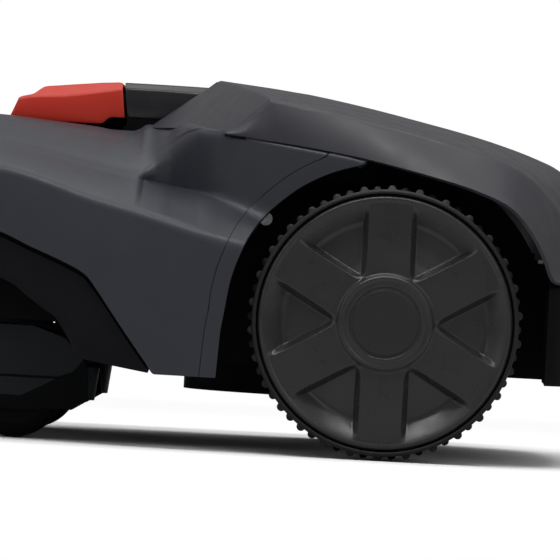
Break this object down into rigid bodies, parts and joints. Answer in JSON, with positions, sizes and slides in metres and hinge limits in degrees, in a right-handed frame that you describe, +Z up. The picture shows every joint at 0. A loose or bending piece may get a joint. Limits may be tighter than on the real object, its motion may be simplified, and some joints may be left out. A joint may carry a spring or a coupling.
{
  "type": "robotic lawn mower",
  "caption": "Self-driving lawn mower: floating dark shell, two large ribbed drive wheels, swivel casters, red stop button ahead of a hinged hatch, blade disc beneath.",
  "frame": {"origin": "on the ground, below the middle of the whole machine; the drive axle lies 180 mm behind it and 110 mm up", "axes": "+X forwards in the direction of travel, +Y to the mower's left, +Z up"},
  "size_m": [0.72, 0.5558, 0.3032],
  "materials": {
    "shell_plastic": "satin moulded",
    "cover_plastic": "satin moulded",
    "skirt_plastic": "fine texture",
    "bumper_plastic": "fine texture",
    "chassis_plastic": "moulded",
    "hub_plastic": "satin moulded",
    "tread_rubber": "matt",
    "caster_plastic": "satin moulded",
    "caster_rubber": "worn smooth",
    "gasket_rubber": "matt",
    "stop_plastic": "satin gloss",
    "hatch_plastic": "semi-gloss",
    "lens": "gloss",
    "key_plastic": "matt",
    "knob_plastic": "matt",
    "switch_plastic": "gloss",
    "battery_plastic": "matt",
    "circuit_board": "solder mask",
    "machined_steel": "turned",
    "motor_steel": "zinc plated",
    "disc_steel": "powder coat",
    "blade_steel": "ground",
    "contact_brass": "polished",
    "bush_plastic": "natural acetal"
  },
  "bodies": {
    "chassis": {"chassis_tray": "chassis_plastic", "chassis_deck": "chassis_plastic", "deck_gasket": "gasket_rubber", "wheel_screens": "chassis_plastic", "battery_pack": "battery_plastic", "main_board": "circuit_board", "gearbox_left": "chassis_plastic", "gearbox_right": "chassis_plastic", "drive_motor_left": "motor_steel", "drive_motor_right": "motor_steel", "control_console": "chassis_plastic", "display_lens": "lens", "charge_contacts": "contact_brass", "caster_bushes": "bush_plastic", "loop_sensor": "chassis_plastic", "cable_harness": "gasket_rubber", "deck_screws": "machined_steel", "stop_switch": "switch_plastic", "carrier_seal": "gasket_rubber", "hatch_pin": "machined_steel", "radio_module": "circuit_board"},
    "shell": {"front_shell": "shell_plastic", "rear_cover": "cover_plastic", "arch_trim_left": "shell_plastic", "arch_trim_right": "shell_plastic", "lower_skirt": "skirt_plastic", "rear_bumper": "bumper_plastic", "shell_sockets": "chassis_plastic"},
    "hatch": {"hatch_lid": "hatch_plastic"},
    "stop": {"stop_button": "stop_plastic"},
    "key_up_body": {"key_up": "key_plastic"},
    "key_ok_body": {"key_ok": "key_plastic"},
    "key_down_body": {"key_down": "key_plastic"},
    "rocker": {"power_rocker": "switch_plastic"},
    "height_screw": {"height_knob": "knob_plastic", "lead_screw": "machined_steel"},
    "carrier": {"cutter_carrier": "chassis_plastic", "blade_motor": "motor_steel"},
    "disc": {"blade_disc": "disc_steel", "blade_screws": "machined_steel"},
    "blade_1_body": {"blade_1": "blade_steel"},
    "blade_2_body": {"blade_2": "blade_steel"},
    "blade_3_body": {"blade_3": "blade_steel"},
    "skid": {"skid_plate": "chassis_plastic"},
    "wheel_left": {"tyre_left": "tread_rubber", "hub_cap_left": "hub_plastic", "centre_cap_left": "hub_plastic", "drive_shaft_left": "machined_steel"},
    "wheel_right": {"tyre_right": "tread_rubber", "hub_cap_right": "hub_plastic", "centre_cap_right": "hub_plastic", "drive_shaft_right": "machined_steel"},
    "caster_left": {"caster_fork_left": "caster_plastic", "caster_axle_left": "machined_steel"},
    "caster_roll_left": {"caster_wheel_left": "caster_rubber"},
    "caster_right": {"caster_fork_right": "caster_plastic", "caster_axle_right": "machined_steel"},
    "caster_roll_right": {"caster_wheel_right": "caster_rubber"},
    "post_front": {"joystick_front": "gasket_rubber"},
    "post_rear": {"joystick_rear": "gasket_rubber"}
  },
  "joints": [
    {"name": "shell_bump", "type": "slide", "parent": "chassis", "child": "shell", "axis": [1, 0, 0], "range_m": [-0.006, 0.006]},
    {"name": "post_front_lean", "type": "hinge", "parent": "chassis", "child": "post_front", "pos_m": [0.22, 0, 0.177], "axis": [0, 1, 0], "range_deg": [-6, 6]},
    {"name": "post_rear_lean", "type": "hinge", "parent": "chassis", "child": "post_rear", "pos_m": [-0.24, 0, 0.177], "axis": [0, 1, 0], "range_deg": [-5, 5]},
    {"name": "hatch_open", "type": "hinge", "parent": "chassis", "child": "hatch", "pos_m": [-0.082, 0, 0.287], "axis": [0, -1, 0], "range_deg": [0, 70]},
    {"name": "stop_press", "type": "slide", "parent": "chassis", "child": "stop", "axis": [0, 0, -1], "range_m": [0, 0.004]},
    {"name": "key_up_press", "type": "slide", "parent": "chassis", "child": "key_up_body", "axis": [0, 0, -1], "range_m": [0, 0.001]},
    {"name": "key_ok_press", "type": "slide", "parent": "chassis", "child": "key_ok_body", "axis": [0, 0, -1], "range_m": [0, 0.001]},
    {"name": "key_down_press", "type": "slide", "parent": "chassis", "child": "key_down_body", "axis": [0, 0, -1], "range_m": [0, 0.001]},
    {"name": "power_switch", "type": "hinge", "parent": "chassis", "child": "rocker", "pos_m": [-0.058, 0.055, 0.255], "axis": [0, 1, 0], "range_deg": [0, 14]},
    {"name": "height_turn", "type": "hinge", "parent": "chassis", "child": "height_screw", "pos_m": [-0.058, 0, 0.2], "axis": [0, 0, 1], "range_deg": [0, 300]},
    {"name": "height_slide", "type": "slide", "parent": "chassis", "child": "carrier", "axis": [0, 0, 1], "range_m": [-0.04, 0]},
    {"name": "disc_spin", "type": "hinge", "parent": "carrier", "child": "disc", "pos_m": [-0.144, 0, 0.06], "axis": [0, 0, 1], "continuous": true},
    {"name": "blade_1_pivot", "type": "hinge", "parent": "disc", "child": "blade_1_body", "pos_m": [-0.073, 0, 0.056], "axis": [0, 0, 1], "continuous": true},
    {"name": "blade_2_pivot", "type": "hinge", "parent": "disc", "child": "blade_2_body", "pos_m": [-0.1795, 0.06149, 0.056], "axis": [0, 0, 1], "continuous": true},
    {"name": "blade_3_pivot", "type": "hinge", "parent": "disc", "child": "blade_3_body", "pos_m": [-0.1795, -0.06149, 0.056], "axis": [0, 0, 1], "continuous": true},
    {"name": "skid_spin", "type": "hinge", "parent": "disc", "child": "skid", "pos_m": [-0.144, 0, 0.05], "axis": [0, 0, 1], "continuous": true},
    {"name": "wheel_left_spin", "type": "hinge", "parent": "chassis", "child": "wheel_left", "pos_m": [-0.18, 0.25, 0.11], "axis": [0, 1, 0], "continuous": true},
    {"name": "wheel_right_spin", "type": "hinge", "parent": "chassis", "child": "wheel_right", "pos_m": [-0.18, -0.25, 0.11], "axis": [0, 1, 0], "continuous": true},
    {"name": "caster_left_swivel", "type": "hinge", "parent": "chassis", "child": "caster_left", "pos_m": [0.134, 0.15, 0.12], "axis": [0, 0, 1], "continuous": true},
    {"name": "caster_left_roll", "type": "hinge", "parent": "caster_left", "child": "caster_roll_left", "pos_m": [0.118, 0.15, 0.039], "axis": [0, 1, 0], "continuous": true},
    {"name": "caster_right_swivel", "type": "hinge", "parent": "chassis", "child": "caster_right", "pos_m": [0.134, -0.15, 0.12], "axis": [0, 0, 1], "continuous": true},
    {"name": "caster_right_roll", "type": "hinge", "parent": "caster_right", "child": "caster_roll_right", "pos_m": [0.118, -0.15, 0.039], "axis": [0, 1, 0], "continuous": true}
  ],
  "couplings": [
    {"joint": "height_turn", "follows": "height_slide", "rad_per_m": -130.9},
    {"joint": "post_front_lean", "follows": "shell_bump", "rad_per_m": 17.241},
    {"joint": "post_rear_lean", "follows": "shell_bump", "rad_per_m": 13.889}
  ]
}
